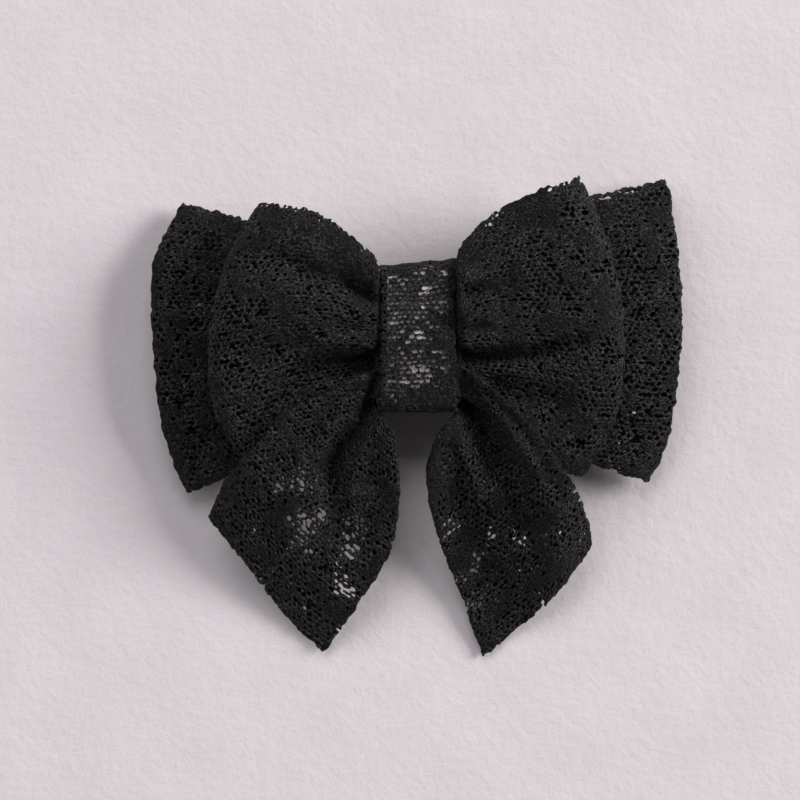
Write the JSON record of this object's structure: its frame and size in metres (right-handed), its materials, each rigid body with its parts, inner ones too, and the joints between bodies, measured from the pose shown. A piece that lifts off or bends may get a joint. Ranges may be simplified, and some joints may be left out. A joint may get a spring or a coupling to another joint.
{
  "type": "hair bow",
  "caption": "Double-layer hair bow of openwork knitted lace with two slant-cut tails and a wrapped knot, on a spring barrette clip.",
  "frame": {"origin": "middle of the bow's lowest level, under its bounding box", "axes": "+Z out of the bow's front, +Y towards the top of the knot, +X to the right seen from the front"},
  "size_m": [0.1204, 0.1096, 0.0321],
  "materials": {
    "lace": "matte openwork knit",
    "lining": "satin",
    "thread": "matte thread",
    "felt": "felt",
    "steel": "nickel plated",
    "spring_steel": "satin"
  },
  "bodies": {
    "bow": {"back_bow": "lace", "front_bow": "lace", "tails": "lace", "knot_band": "lace", "knot_lining": "lining", "back_bow_thread": "thread", "front_bow_thread": "thread", "tail_thread": "thread", "clip_pad": "felt", "base_plate": "steel", "hinge_pin": "steel", "tension_spring": "spring_steel", "catch_bracket": "spring_steel", "catch_rivet": "steel"},
    "clasp": {"clasp_bar": "steel"},
    "arm_left": {"catch_arm_left": "spring_steel"},
    "arm_right": {"catch_arm_right": "spring_steel"}
  },
  "joints": [
    {"name": "clasp_hinge", "type": "hinge", "parent": "bow", "child": "clasp", "pos_m": [-0.03593, 0.01815, 0.0064], "axis": [0, 1, 0], "range_deg": [0, 60]},
    {"name": "arm_left_squeeze", "type": "hinge", "parent": "bow", "child": "arm_left", "pos_m": [0.03357, 0.0196, 0.0065], "axis": [0, 0, -1], "range_deg": [0, 6], "stiffness_Nm_per_rad": 0.2},
    {"name": "arm_right_squeeze", "type": "hinge", "parent": "bow", "child": "arm_right", "pos_m": [0.03357, 0.0167, 0.0065], "axis": [0, 0, 1], "range_deg": [0, 6], "stiffness_Nm_per_rad": 0.2}
  ]
}
